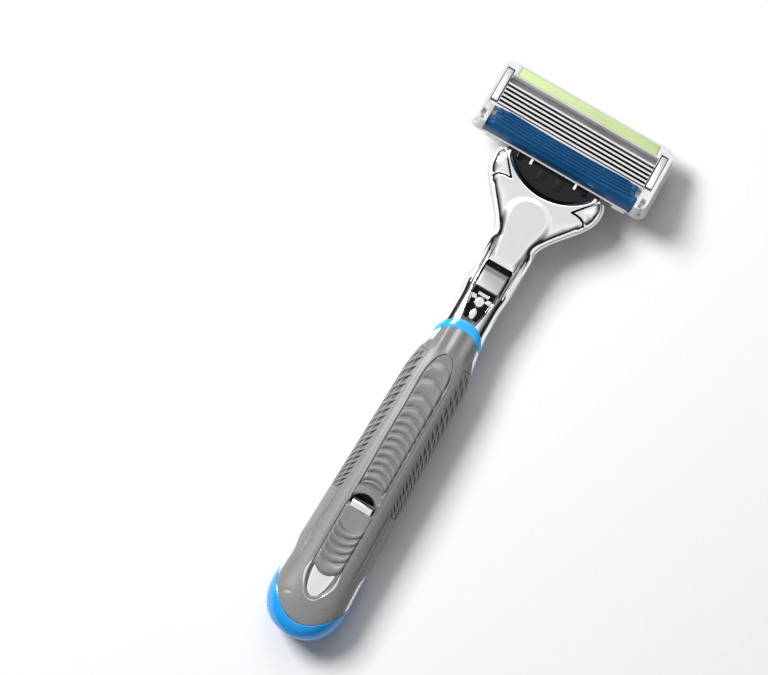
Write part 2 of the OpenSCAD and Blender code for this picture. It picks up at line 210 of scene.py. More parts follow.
def sheet(name, rows, columns, place, thick=0.0, joined=False, crease=40):
    """A grid sheet whose points lie where place(u, v) says in mm, with a wall thick mm deep inwards."""
    bpy.ops.object.select_all(action="DESELECT")
    bpy.ops.mesh.primitive_grid_add(x_subdivisions=rows, y_subdivisions=columns, size=1)
    piece = bpy.context.object
    piece.name = piece.data.name = name
    for v in piece.data.vertices:
        p = place(min(max(v.co.x + 0.5, 0), 1), min(max(v.co.y + 0.5, 0), 1))
        v.co = Vector((p[0], p[1] + butt_end, max(p[2], 0))) * MM
    bpy.ops.object.mode_set(mode="EDIT")
    bpy.ops.mesh.select_all(action="SELECT")
    if joined:
        bpy.ops.mesh.remove_doubles(threshold=0.01 * MM)
        bpy.ops.mesh.normals_make_consistent(inside=False)
    bpy.ops.object.mode_set(mode="OBJECT")
    if thick:
        middle = piece.data.polygons[len(piece.data.polygons) // 2 + columns // 2]
        if not joined and middle.normal.z < 0:
            bpy.ops.object.mode_set(mode="EDIT")
            bpy.ops.mesh.flip_normals()
            bpy.ops.object.mode_set(mode="OBJECT")
        add_wall(piece, thick, crease)
    else:
        smooth_faces(crease)
    return piece


def finish(name, colour, rough, metal=0.0, coat=0.0, grain=900, bump=0.0, mottle=0.05, wear=0.0,
           shine=0.5):
    """A moulded or plated finish: one shader whose tint, gloss and surface vary finely."""
    paint = bpy.data.materials.new(name)
    paint.use_nodes = True
    tree = paint.node_tree
    shader = tree.nodes["Principled BSDF"]
    shader.inputs["Metallic"].default_value = metal
    shader.inputs["Coat Weight"].default_value = coat
    shader.inputs["Specular IOR Level"].default_value = shine
    shader.inputs["Coat Roughness"].default_value = 0.06
    place = tree.nodes.new("ShaderNodeTexCoord")
    clouds = tree.nodes.new("ShaderNodeTexNoise")
    clouds.inputs["Scale"].default_value = 130
    clouds.inputs["Detail"].default_value = 4
    fine = tree.nodes.new("ShaderNodeTexNoise")
    fine.inputs["Scale"].default_value = grain * 4
    fine.inputs["Detail"].default_value = 2
    tree.links.new(place.outputs["Object"], clouds.inputs["Vector"])
    tree.links.new(place.outputs["Object"], fine.inputs["Vector"])
    tint = tree.nodes.new("ShaderNodeValToRGB")
    darker, lighter = tint.color_ramp.elements
    darker.position, lighter.position = 0.3, 0.7
    darker.color = [c * (1 - mottle) for c in colour] + [1]
    lighter.color = [min(c * (1 + mottle), 1) for c in colour] + [1]
    tree.links.new(clouds.outputs["Fac"], tint.inputs["Fac"])
    tree.links.new(tint.outputs["Color"], shader.inputs["Base Color"])
    gloss = tree.nodes.new("ShaderNodeMapRange")
    gloss.inputs["To Min"].default_value = rough * 0.82
    gloss.inputs["To Max"].default_value = rough * 1.18 + wear
    tree.links.new(fine.outputs["Fac"], gloss.inputs["Value"])
    tree.links.new(gloss.outputs["Result"], shader.inputs["Roughness"])
    if bump:
        relief = tree.nodes.new("ShaderNodeBump")
        relief.inputs["Strength"].default_value = bump
        relief.inputs["Distance"].default_value = 0.00005
        tree.links.new(fine.outputs["Fac"], relief.inputs["Height"])
        tree.links.new(relief.outputs["Normal"], shader.inputs["Normal"])
    return paint


def wear_on(piece, body, paint, slot, *nodes):
    """Gives a piece its finish, the body it rides on and the CAD nodes it stands for."""
    piece.data.materials.clear()
    piece.data.materials.append(paint)
    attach(piece, body)
    if nodes:
        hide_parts(*nodes)


def sides_reach(angle):
    """0 at the front's middle, 1 at the sides and 2 at the back's middle."""
    d = math.sin(math.radians(angle))
    return 1 - d ** 1.45 if d > 0 else 1 - d


def cap_edge(angle):
    """Where the butt cap's rim lies."""
    return 3.6 + 9.0 * min(sides_reach(angle), 1.6)


def collar_edge(angle, rise=0.0):
    """Where the collar's butt side lies."""
    return collar_y + rise - 3.3 * sides_reach(angle)


def split_angle(s):
    """Where the front shell meets the back shell: under the sides, but over them near both ends."""
    return -24 + 62 * smooth((s - 64) / 6) + 50 * smooth((24 - s) / 8)


pad_half, pad_lap = 3.0, 0.1
thumb_low, thumb_round, thumb_tip = 35.4, 61.8, 68.3
palm_low, palm_bend, palm_top, palm_wide = 10.0, 17.5, 31.6, 3.3
pocket_top, pocket_arch = 34.45, 0.167
panel_low, panel_high = 32.4, 67.2
grey_rubber = finish("satin_grey_rubber", (0.225, 0.225, 0.222), 0.38, grain=1400, bump=0.25, mottle=0.04)


def thumb_half(s):
    """Half width of the thumb pad."""
    return pad_half * math.sqrt(max(0, 1 - (max(0, s - thumb_round) / (thumb_tip - thumb_round)) ** 2))


def palm_half(s):
    """Half width of the palm pad."""
    tail = max(0, palm_bend - s) / (palm_bend - palm_low)
    return palm_wide * math.sqrt(max(0, 1 - tail ** 2.2))


def panel_edge(s):
    """How far from the middle a side panel starts."""
    return 4.55 + (67 - s) / 34 * 1.1


def grip_relief(x, s):
    """How far the rubber stands off the skin, in mm."""
    near = abs(x)
    sink = 0.0
    if thumb_low - 0.5 < s < thumb_tip + 0.5:
        sink = 1.0 * step_in(thumb_half(s) - pad_lap - near, 0.5)
    if palm_low - 0.5 < s < palm_top + 0.3:
        sink = 1.0 * step_in(palm_half(s) - pad_lap - near, 0.5)
    if palm_top - 0.3 < s < thumb_low + 0.3:
        roof = pocket_top - pocket_arch * x * x
        lip = 0.15 + 0.35 * smooth((s - roof) / 1.4)
        hole = step_in(s - palm_top + 0.2, 0.3) * step_in(roof - s, 0.45)
        sink = step_in(pad_half - near, 0.4) * between(lip, 4.2, hole)
    if panel_low < s < panel_high:
        bed = step_in(near - panel_edge(s) - 0.15, 0.4) * smooth(min(s - panel_low, panel_high - s) / 0.6)
        sink = max(sink, 1.25 * bed)
    groove = 0.08 * hump(near - 3.6, 0.24) * smooth((66 - s) / 4) * smooth((s - 15) / 4)
    seam = 0.3 * hump(near - 6.15 - 0.02 * (32 - s), 0.13)
    seam *= smooth((32.5 - s) / 0.6) * smooth((s - 15) / 5)
    crease = 0.12 * hump(s - 8.6 + 0.35 * (near - 4.2) ** 2, 0.3)
    crease *= smooth((near - 3.6) / 0.8) * smooth(7 - near)
    flute = 0.16 * smooth((s - 66.5) / 4) * math.cos(near * 2.1) * smooth((5.0 - near) / 1.5)
    return flute - sink - groove - seam - crease


def grip_place(u, v):
    """Each edge of the shell depends on the angle and the angle on s, so a few rounds settle both."""
    s, angle = 5 + 68 * u, 90
    for _ in range(4):
        low = split_angle(s)
        angle = low + (180 - 2 * low) * v
        s = cap_edge(angle) + (collar_edge(angle) - cap_edge(angle)) * u
    return on_skin(s, angle, grip_relief(on_skin(s, angle)[0], s))


grip_front = sheet("grip_front_shell", 330, 145, grip_place, thick=1.0)
wear_on(grip_front, "handle", grey_rubber, "grip_rubber", "grip_front")

# ---------------------------------------------------------------------------
# Side panels: one on each side of the grip, of the same rubber, moulded with
# slanted rows of small three-cornered pits that grow from butt to head.
pit_column, pit_columns, pit_slant, pit_deep = 14.5, 5, 1.15, 1.3
fine_pitch, panel_start, double_over = 1.2, 33, 34


def pit_rows(s):
    """Rows of pits below s, their pitch doubling from the panel's butt end to its head end."""
    return double_over / fine_pitch * math.log(1 + max(s - panel_start, 0) / double_over)


def panel_place(side):
    """The skin of one panel, its pits sunk in."""
    def place(u, v):
        s = panel_low + (panel_high - panel_low) * u
        top = skin_angle(s, panel_edge(s))
        angle = top - pit_columns * pit_column * v
        count = (top - angle) / pit_column
        column = count - math.floor(count)
        below = (-pit_rows(s + pit_slant * count)) % 1.0
        tall = 0.74 * column
        pit = smooth(min(below, tall - below) / 0.14) * smooth((1 - column) / 0.07)
        ends = smooth((s + pit_slant * count - 33.4) / 0.5)
        ends *= smooth((66.9 - s - pit_slant * count * 0.4) / 0.8)
        rim = 0.02 + 0.05 * (1 - smooth(v / 0.025)) + 0.3 * (1 - smooth((1 - v) / 0.03))
        rim += 0.2 * (1 - smooth(min(s - panel_low, panel_high - s) / 0.35))
        return on_skin(s, angle if side > 0 else 180 - angle, -pit_deep * pit * ends - rim)
    return place


both_sides = (("left", -1), ("right", 1))
for label, side in both_sides:
    panel = sheet(f"grip_panel_{label}", 420, 70, panel_place(side), thick=0.45, crease=28)
    wear_on(panel, "handle", grey_rubber, "grip_rubber", f"grip_side_{label}")

# ---------------------------------------------------------------------------
# Thumb pad: a soft rubber strip with a rounded head end, moulded into arched
# ribs that stand closer together towards the butt, with a smooth rolled end.
pad_rubber = finish("soft_pad_rubber", (0.222, 0.222, 0.219), 0.25, grain=1400, bump=0.16, mottle=0.04,
                    shine=0.85)
thumb_ribs = [37.4, 39.4, 41.2, 43.1, 45.1, 47.1, 49.0, 50.9, 52.9, 55.3, 58.3, 62.2]


def rib_wave(s, ribs, first, last):
    """0 to 1 over a row of round-backed ribs, with narrow valleys at the given places."""
    if s <= ribs[0] - first or s >= ribs[-1] + last:
        return 0.0
    marks = [ribs[0] - first] + ribs + [ribs[-1] + last]
    for k in range(len(marks) - 1):
        if marks[k] <= s < marks[k + 1]:
            t = (s - marks[k]) / (marks[k + 1] - marks[k])
            return math.sin(math.pi * t) ** 0.85
    return 0.0


def thumb_place(u, v):
    s = thumb_low + (thumb_tip - thumb_low) * (1 - (1 - u) ** 1.15)
    x = (2 * v - 1) * thumb_half(s)
    arch = s + 0.155 * x * x
    wave = rib_wave(arch, thumb_ribs, 1.9, 3.9)
    rib = 0.55 * wave * smooth((arch - 36.4) / 1.2) * smooth((thumb_half(s) - abs(x)) / 0.6)
    scoop = 0.1 + 0.32 * smooth((3.1 - abs(x)) / 2.0) * smooth((68 - arch) / 3)
    rolled = 0.75 * smooth((37.2 - s) / 1.8)
    edge = 0.4 * (1 - smooth((thumb_half(s) - abs(x)) / 0.22))
    return on_skin(s, skin_angle(s, x), rib - scoop - rolled - edge)


thumb_rest = sheet("thumb_rest", 420, 44, thumb_place, thick=0.5)
wear_on(thumb_rest, "handle", pad_rubber, "pad_rubber", "thumb_pad")

# ---------------------------------------------------------------------------
# Palm pad: the second soft strip, ribbed the other way round, with a smooth top
# half and a ring that runs on round the teardrop plate near the butt.
palm_ribs = [15.2, 18.05, 20.1, 21.95, 23.8]


def palm_place(u, v):
    s = palm_low + (palm_top - palm_low) * u
    x = (2 * v - 1) * palm_half(s) * 0.985
    smile = s - 0.17 * x * x
    rib = 0.52 * rib_wave(smile, palm_ribs, 1.4, 1.9) * smooth((smile - 14.3) / 0.8)
    rib *= smooth((3.3 - abs(x)) / 0.6)
    dish_half = 2.9 * math.sqrt(max(0, 1 - (max(0, 17 - s) / 7.2) ** 2.2))
    dish = 0.55 * step_in(dish_half - abs(x), 0.3) * step_in(15.1 - smile, 0.3)
    rolled = 0.9 * smooth((s - 30.2) / 1.5)
    edge = 0.4 * (1 - smooth((palm_half(s) - abs(x)) / 0.22))
    scoop = 0.1 + 0.25 * smooth((3.1 - abs(x)) / 2.2)
    return on_skin(s, skin_angle(s, x), rib - dish - rolled - edge - scoop)


palm_rest = sheet("palm_rest", 300, 44, palm_place, thick=0.5)
wear_on(palm_rest, "handle", pad_rubber, "pad_rubber", "palm_pad")

# ---------------------------------------------------------------------------
# Pocket between the pads: a black liner deep in the grip, which is painted shade
# where the pocket falls dark, a rolled rubber lip over its head side, and a polished
# bar that curves down into its butt side, a painted highlight for the light that the
# palm pad's rolled top end catches.
# Painted shade: a black sheet set deep in the pocket, where only shade falls.
pocket_shade_black = finish("pocket_painted_shade", (0.003, 0.003, 0.0035), 0.3, grain=600, bump=0.1, shine=0.15)
polished = finish("polished_chrome", (0.9, 0.905, 0.915), 0.12, metal=1.0, grain=500, mottle=0.015,
                  wear=0.02)
liner_low, liner_long, liner_half, liner_deep = 31.2, 3.9, 3.05, 3.3
pocket_lip_half, pocket_lip_top = 2.98, 35.2
bar_low, bar_long, bar_half = 30.45, 2.25, 2.65


def shade_liner_place(u, v):
    s = liner_low + liner_long * u
    x = (2 * v - 1) * liner_half
    return on_skin(s, skin_angle(s, x), 2.6 * (1 - smooth((s - liner_low) / 2.0)) - liner_deep)


pocket_shade_liner = sheet("pocket_shade_liner", 30, 24, shade_liner_place, thick=0.4)
wear_on(pocket_shade_liner, "handle", pocket_shade_black, "black_plastic")


def lip_place(u, v):
    x = pocket_lip_half * (2 * v - 1)
    edge = pocket_top - pocket_arch * x * x - 0.28
    roll_from, roll_r = 0.7, 0.3
    roll = math.pi / 2 * smooth((u - roll_from) / (1 - roll_from))
    s = pocket_lip_top + (edge + roll_r - pocket_lip_top) * min(u / roll_from, 1) - roll_r * math.sin(roll)
    return on_skin(s, skin_angle(s, x), -0.12 - 0.15 * u - 1.1 * (1 - math.cos(roll)))


pocket_lip = sheet("pocket_lip", 40, 60, lip_place, thick=0.2)
wear_on(pocket_lip, "handle", pad_rubber, "pad_rubber")


def highlight_bar_place(u, v):
    s = bar_low + bar_long * u
    x = (2 * v - 1) * bar_half
    fall = 0.5 * smooth((abs(x) - bar_half + 0.25) / 0.25) + 0.3 * smooth((bar_low + 0.2 - s) / 0.2)
    fall += 0.55 * max(0, s - 31.55) ** 2
    return on_skin(s, skin_angle(s, x), 0.02 - fall)


# Painted highlight: a polished bar that stands in for the light caught on the palm pad's rolled top end.
pocket_highlight_bar = sheet("pocket_highlight_bar", 24, 40, highlight_bar_place, thick=0.4)
wear_on(pocket_highlight_bar, "handle", polished, "chrome")

# ---------------------------------------------------------------------------
# Teardrop plate: a bright plated inlay set in the palm pad's tail, with a thin
# polished rim round the pad that widens up its sides; its widening is a painted
# highlight for the glow on the rubber round the pad.
plate_tip, plate_top, plate_arch = 9.72, 15.0, 0.17
rim_middle, rim_reach, rim_half = 16.9, 7.75, 3.36


def tear_half(s):
    """Half width of the plate."""
    return 2.6 * math.sqrt(max(0, 1 - (max(0, 17.2 - s) / 7.5) ** 2.1))


def tear_place(u, v):
    across = 2 * v - 1
    s = 12.0
    for _ in range(4):
        x = across * tear_half(max(s, plate_tip + 0.03))
        s = plate_tip + (plate_top + plate_arch * x * x - plate_tip) * u
    x = across * tear_half(max(s, plate_tip + 0.03))
    return on_skin(s, skin_angle(s, x), -0.42 + 0.12 * (1 - across * across))


teardrop_plate = sheet("teardrop_plate", 60, 36, tear_place, thick=0.4)
wear_on(teardrop_plate, "handle", polished, "bright_shell", "teardrop_inlay")


def highlight_rim_place(u, v):
    turn = math.pi * (u - 0.5) * 1.02
    s = rim_middle - rim_reach * math.cos(turn)
    wide = 0.2 + 0.45 * smooth((abs(turn) - 0.6) / 0.7) * smooth((1.6 - abs(turn)) / 0.5)
    x = math.copysign(rim_half * abs(math.sin(turn)) ** 0.92, turn)
    outward = Vector((math.sin(turn) * 2.2, -math.cos(turn), 0)).normalized()
    x, s = x + outward.x * wide * v, s + outward.y * wide * v
    return on_skin(s, skin_angle(s, x), 0.05 * math.sin(math.pi * v) - 0.02 + 0.25 * (v - 0.5) * wide)


# Partly painted highlight: a thin polished rim whose wide sides stand in for the glow on the rubber.
teardrop_highlight_rim = sheet("teardrop_highlight_rim", 120, 8, highlight_rim_place, thick=0.3)
wear_on(teardrop_highlight_rim, "handle", polished, "chrome")

# ---------------------------------------------------------------------------
# Butt cap: a cup of clear sky blue plastic over the butt end, its rim swept
# back along both sides, with a smooth glossy skin.
cap_blue = finish("butt_cap_blue", (0.014, 0.33, 0.83), 0.22, coat=0.35, grain=700, bump=0.04, mottle=0.06)


def cap_place(u, v):
    angle = 360 * v - 90
    s = (cap_edge(angle) - 0.15) * u ** 1.6
    lift = -0.12 * smooth((u - 0.97) / 0.03)
    return on_skin(s, angle, lift)


butt_cup = sheet("butt_cup", 90, 220, cap_place, thick=0.9, joined=True)
wear_on(butt_cup, "handle", cap_blue, "blue_plastic", "butt_cap")

# ---------------------------------------------------------------------------
# Back of the grip: a bright plated casing round the back, whose thin edges show
# beside the grey rubber near both ends.
casing_silver = finish("casing_silver", (0.82, 0.83, 0.85), 0.2, metal=0.85, grain=500, mottle=0.02,
                       wear=0.03)


def casing_place(u, v):
    s, angle = 5 + 68 * u, 0
    for _ in range(4):
        low = split_angle(s)
        angle = low - (180 + 2 * low) * v
        s = cap_edge(angle) + 0.05 + (collar_edge(angle) - cap_edge(angle) - 0.1) * u
    lift = -0.15 * (1 - smooth(v / 0.02)) - 0.15 * (1 - smooth((1 - v) / 0.02))
    return on_skin(s, angle, lift)


back_casing = sheet("back_casing", 240, 120, casing_place)
lowest = min(back_casing.data.polygons, key=lambda f: f.center.z)
if lowest.normal.z > 0:
    back_casing.data.flip_normals()
add_wall(back_casing, 1.0, crease=40)
wear_on(back_casing, "handle", casing_silver, "bright_shell", "back_shell")

# ---------------------------------------------------------------------------
# Collar: a sky blue plastic ring clipped round the neck, arched to the front,
# softly rounded across its width.
collar_blue = finish("collar_blue", (0.02, 0.45, 0.95), 0.16, coat=0.5, grain=700, bump=0.03, mottle=0.05)


def collar_place(u, v):
    angle = 360 * v - 90
    low = collar_edge(angle, 0.02)
    high = collar_edge(angle, 2.15) - 0.6 * min(sides_reach(angle), 1) ** 1.5
    s = low + (high - low) * u
    return on_skin(s, angle, 0.12 * math.sin(math.pi * u) ** 0.5)


collar_band = sheet("collar_band", 24, 160, collar_place, thick=0.8, joined=True)
wear_on(collar_band, "handle", collar_blue, "blue_plastic", "collar_ring")

# ---------------------------------------------------------------------------
# Yoke: the die-cast and chromed neck and fan that carries the head. Its front
# shell is one sheet with a raised teardrop, sunk horns and a rolled lip, and the
# button well, window and slots are cut through it.
yoke_w, yoke_start, yoke_end, yoke_top, yoke_waist = 26.8, 73.2, 112.4, 12.0, 7.0
fan_start, fan_full = 95, 109.4
lip_y, lip_r = 107.8, 13.4
rail_half = 5.45


def yoke_half(s):
    """Half width of the neck and fan."""
    if s > 110:
        return yoke_w / 2 - 0.9 * ((s - 110) / (yoke_end - 110)) ** 2
    if s > fan_start + 1:
        return between(neck_w / 2, yoke_w / 2, (s - fan_start) / (fan_full - fan_start))
    waist = neck_w / 2 + (rail_half - neck_w / 2) * smooth((s - 81) / 4) * smooth((96.5 - s) / 2.5)
    return max(waist, handle_section(s)[0] if s < neck_y else 0)


def lip_line(x):
    """Where the front shell ends at x: the arched lip between the horns' ends."""
    if abs(x) >= lip_r:
        return yoke_end
    return min(lip_y + lip_r - math.sqrt(lip_r ** 2 - x * x), yoke_end)


def raised_depth(near, s):
    """How far inside the raised teardrop a point lies, in mm."""
    if s < 101.8:
        return 3.0 + 2.1 * smooth((s - 89) / 13) - near
    return 4.6 * (1 - math.hypot(near / 5.1, (s - 101.8) / 4.2))


def horn_depth(x, s):
    """How far inside a horn's sunk facet a point lies, in mm."""
    near = abs(x)
    inner = near - (7.4 + 2.5 * (s - 107.4) / 3.0)
    butt_side = s - (107.4 - 1.8 * max(0, (near - 7.6) / 4.4) ** 2.6)
    return min(inner, butt_side)


def yoke_relief(x, s):
    """How far the chromed skin stands off the plain neck and fan, in mm."""
    near = abs(x)
    end = lip_line(x) - s
    rise = 0.3 * step_in(raised_depth(near, s) - 0.5, 1.8) * smooth((s - 89.8) / 2.5)
    depth = horn_depth(x, s)
    sunk = 0.55 * step_in(depth, 0.6) - 0.55 * smooth((depth - 0.4) / 2.7)
    roll = 0.8 * smooth(1 - end / 1.25) * smooth((10.6 - near) / 1.6)
    dish = 0.3 * smooth((near - 1) / 7) * smooth((11.8 - near) / 4) * smooth((s - 97) / 6)
    pocket = 0.22 * step_in(0.5 - abs(near - 4.65), 0.8) * step_in(4.4 - abs(s - 89.6), 1.6)
    under_collar = 0.5 * smooth((76.15 - 0.085 * x * x - s) / 0.7)
    return rise - sunk - roll - dish - pocket - under_collar


def yoke_top_at(x, s, q):
    """The height of the front skin at a point, q being its share of the half width."""
    power = between(2.4, 4.4, (s - 86) / 14)
    crown = between(neck_top, yoke_top, (s - 90) / 16)
    waist = yoke_waist + 0.4 * smooth((s - fan_start) / 10)
    return waist + (crown - waist) * max(0, 1 - min(q, 1) ** power) ** (1 / power)


def front_half(s):
    """Half width of the front shell, which leaves the back shell's rim to show at the fan."""
    return yoke_half(s) - 0.42 * smooth((s - 94) / 3)


def yoke_place(u, v):
    across = 2 * v - 1
    flat, rim_z = 0.84, 4.4
    w = min(abs(across) / flat, 1)
    q = math.sin(math.pi / 2 * w ** 0.9)
    s = 90.0
    for _ in range(5):
        x = math.copysign(front_half(s) * q, across)
        s = yoke_start + (lip_line(x) - 0.02 - yoke_start) * u
    z = yoke_top_at(x, s, q)
    if w < 1:
        z += yoke_relief(x, s) * smooth((1 - w) / 0.1)
    else:
        z -= (z - rim_z) * (abs(across) - flat) / (1 - flat)
    return Vector((x, s, z))


def on_yoke(x, s, lift=0.0):
    """The point of the chromed skin at x and s, lifted straight up."""
    return Vector((x, s, yoke_top_at(x, s, abs(x) / front_half(s)) + yoke_relief(x, s) + lift))


def pick(piece):
    """Makes this the one piece that is selected."""
    bpy.ops.object.select_all(action="DESELECT")
    piece.select_set(True)
    bpy.context.view_layer.objects.active = piece


def open_hole(piece, outline):
    """Opens a hole of this plan in mm, convex and anticlockwise, through a sheet with no wall yet."""
    pick(piece)
    corners = [Vector((x, s + butt_end, 0)) * MM for x, s in outline]
    sides = list(zip(corners, corners[1:] + corners[:1]))
    low = Vector((min(c.x for c in corners), min(c.y for c in corners))) - Vector((0.3, 0.3)) * MM
    high = Vector((max(c.x for c in corners), max(c.y for c in corners))) + Vector((0.3, 0.3)) * MM
    bpy.context.tool_settings.mesh_select_mode = (False, False, True)
    for a, b in sides:
        for face in piece.data.polygons:
            face.select = low.x < face.center.x < high.x and low.y < face.center.y < high.y
        across = (b - a).cross(Vector((0, 0, 1)))
        bpy.ops.object.mode_set(mode="EDIT")
        bpy.ops.mesh.bisect(plane_co=a, plane_no=across, threshold=1e-9)
        bpy.ops.object.mode_set(mode="OBJECT")
    for face in piece.data.polygons:
        face.select = all((b - a).cross(face.center - a).z > 0 for a, b in sides)
    bpy.ops.object.mode_set(mode="EDIT")
    bpy.ops.mesh.delete(type="FACE")
    bpy.ops.object.mode_set(mode="OBJECT")


def prism(name, outline, low, high, round_off=0.0, segments=3, chamfer=0.0):
    """A plate of this plan in mm, from z low to high, its upright edges rounded, its top rim chamfered."""
    bpy.ops.object.select_all(action="DESELECT")
    bpy.ops.mesh.primitive_circle_add(vertices=len(outline), radius=1, fill_type="NGON")
    piece = bpy.context.object
    piece.name = piece.data.name = name
    for v, (x, s) in zip(piece.data.vertices, outline):
        v.co = Vector((x, s + butt_end, low)) * MM
    bpy.ops.object.mode_set(mode="EDIT")
    bpy.ops.mesh.select_all(action="SELECT")
    bpy.ops.mesh.extrude_region_move(TRANSFORM_OT_translate={"value": (0, 0, (high - low) * MM)})
    bpy.ops.mesh.select_all(action="SELECT")
    bpy.ops.mesh.normals_make_consistent(inside=False)
    bpy.ops.object.mode_set(mode="OBJECT")
    for width, count, upright in ((round_off, segments, True), (chamfer, 3, False)):
        if not width:
            continue
        bpy.ops.object.mode_set(mode="EDIT")
        bpy.ops.mesh.select_mode(type="EDGE")
        bpy.ops.mesh.select_all(action="DESELECT")
        bpy.ops.object.mode_set(mode="OBJECT")
        points = piece.data.vertices
        for edge in piece.data.edges:
            a, b = (points[i].co for i in edge.vertices)
            level = abs(a.z - b.z) < 1e-7
            edge.select = (not level) if upright else (level and abs(a.z - high * MM) < 1e-7)
        bpy.ops.object.mode_set(mode="EDIT")
        bpy.ops.mesh.bevel(offset=width * MM, segments=count, affect="EDGES")
        bpy.ops.object.mode_set(mode="OBJECT")
    smooth_faces(20)
    return piece


def mirrored(outline):
    return [(-x, s) for x, s in reversed(outline)]


def on_side(outline, side):
    """A plan drawn for the right side, or its mirror image for the left."""
    return outline if side > 0 else mirrored(outline)


yoke_front = sheet("yoke_front_shell", 250, 190, yoke_place)
crown = Vector((0, 0.035, 0.012))
if min(yoke_front.data.polygons, key=lambda f: (f.center - crown).length).normal.z < 0:
    yoke_front.data.flip_normals()
window_side = [(1.75, 76.2), (2.35, 79.0), (2.75, 81.2), (3.0, 83.6)]
open_hole(yoke_front, window_side + mirrored(window_side))
well_side = [(3.2, 83.58), (3.2, 89.6), (2.85, 90.25)]
open_hole(yoke_front, well_side + mirrored(well_side))
for side in (-1, 1):
    slot = [(3.5, 83.9), (3.78, 83.5), (4.05, 83.9), (4.0, 92.2), (3.8, 92.7), (3.6, 92.2)]
    slit = [(2.95, 90.2), (3.22, 90.2), (3.12, 93.4), (3.02, 93.4)]
    open_hole(yoke_front, on_side(slot, side))
    open_hole(yoke_front, on_side(slit, side))
add_wall(yoke_front, 0.5)
wear_on(yoke_front, "handle", polished, "chrome", "yoke")

# ---------------------------------------------------------------------------
# Dark lines of the yoke: a black band over the lip, a painted dark reflection on the
# chrome lip, and black strips of painted shade along the creases that part each horn
# from the fan.
painted_dark_black = finish("painted_dark_black", (0.003, 0.003, 0.0035), 0.2, grain=500, bump=0.03, shine=0.2)
crease_shade_path = [(9.95, 110.5), (9.0, 109.3), (8.2, 108.35), (7.35, 107.35),
             (8.6, 107.4), (9.6, 107.2), (10.5, 106.7), (11.25, 105.7)]
crease_shade_corner = 3 / 7
dark_band_half = 9.6


def dark_band_place(u, v):
    x = dark_band_half * (2 * v - 1)
    wide = 1.0 - 0.7 * smooth((abs(x) - 3) / 6.6)
    return on_yoke(x, lip_line(x) - wide * (1 - u), 0.02 + 0.1 * math.sin(math.pi * u))


# Painted dark reflection: a black band laid over the chrome lip.
lip_dark_band = sheet("lip_dark_band", 8, 90, dark_band_place, thick=0.25)
wear_on(lip_dark_band, "handle", painted_dark_black, "black_plastic")


def crease_shade_place(side, start, end):
    """One straight run of a black strip of painted shade along a horn's crease, between two shares of the
    path.
    """
    def place(u, v):
        share = start + (end - start) * u * 0.9999
        reach = share * (len(crease_shade_path) - 1)
        k = min(int(reach), len(crease_shade_path) - 2)
        t = reach - k
        a, b = crease_shade_path[k], crease_shade_path[k + 1]
        bx, by = b[0] - a[0], b[1] - a[1]
        long = math.hypot(bx, by)
        wide = 0.44 * min(1, 0.35 + 6 * share * (1 - share))
        x = a[0] + bx * t - by / long * wide * (v - 0.5)
        y = a[1] + by * t + bx / long * wide * (v - 0.5)
        return on_yoke(side * min(x, front_half(y) - 0.05), y, 0.06 * math.sin(math.pi * v))
    return place


# Painted shade: thin black strips laid along each horn's crease.
for label, side in both_sides:
    for part, start, end in (("inner", 0.0, crease_shade_corner), ("outer", crease_shade_corner, 1.0)):
        line = sheet(f"horn_crease_shade_{part}_{label}", 24, 4, crease_shade_place(side, start, end), thick=0.15)
        wear_on(line, "handle", painted_dark_black, "black_plastic")

# ---------------------------------------------------------------------------
# Neck beams: the cast walls of the yoke on both sides of the window and the
# button, seen as facets in the window and as a bright line in each long slot.
beam = [(1.7, 76.3), (4.6, 74.4), (4.75, 80), (5.2, 84), (5.2, 95),
        (3.3, 95), (3.3, 83.4), (3.05, 83.2), (2.8, 81.2), (2.4, 79.0)]
ridge_line = [(3.7, 84.2), (3.86, 84.2), (3.86, 92.0), (3.7, 92.0)]
for label, side in both_sides:
    cheek = prism(f"neck_beam_{label}", on_side(beam, side), 4.0, 9.3, chamfer=0.3)
    wear_on(cheek, "handle", polished, "chrome")
    ridge = prism(f"slot_ridge_{label}", on_side(ridge_line, side), 9.0, 10.1, chamfer=0.05)
    wear_on(ridge, "handle", polished, "chrome")

# ---------------------------------------------------------------------------
# Back of the yoke: a plated half shell that closes the neck and fan from behind
# and shows as a bright rim outside the front shell.
back_start, back_low = 72.6, 2.75


def yoke_back_place(u, v):
    across = 2 * v - 1
    s = back_start + (yoke_end - back_start) * u
    half = yoke_half(min(s, yoke_end)) + 0.02
    q = math.sin(math.pi / 2 * abs(across))
    power = between(2.4, 3.6, (s - 86) / 14)
    rim = yoke_waist + 0.2 * smooth((s - fan_start) / 10)
    z = rim - (rim - back_low) * max(0, 1 - q ** power) ** (1 / power)
    return Vector((math.copysign(half * q, across), s, z))


yoke_back = sheet("yoke_back_shell", 130, 90, yoke_back_place)
if min(yoke_back.data.polygons, key=lambda f: f.center.z).normal.z > 0:
    yoke_back.data.flip_normals()
add_wall(yoke_back, 0.6)
wear_on(yoke_back, "handle", casing_silver, "bright_shell", "yoke_back_cover")

# ---------------------------------------------------------------------------
# Window studs and hooks: two oval polished studs on the black ejector bar, which
# stand in for painted highlights on the bar, and the small sprung hooks that hold
# the button's butt end.
gloss_black = finish("gloss_black", (0.003, 0.003, 0.0035), 0.14, grain=500, bump=0.03, shine=0.15)
bar_side = [(1.5, 77.25), (2.25, 80.2), (2.5, 84.0), (2.55, 97.4)]
ejector_bar = prism("ejector_bar", bar_side + mirrored(bar_side), 7.62, 9.3, chamfer=0.25)
wear_on(ejector_bar, "ejector", gloss_black, "black_plastic", "ejector")


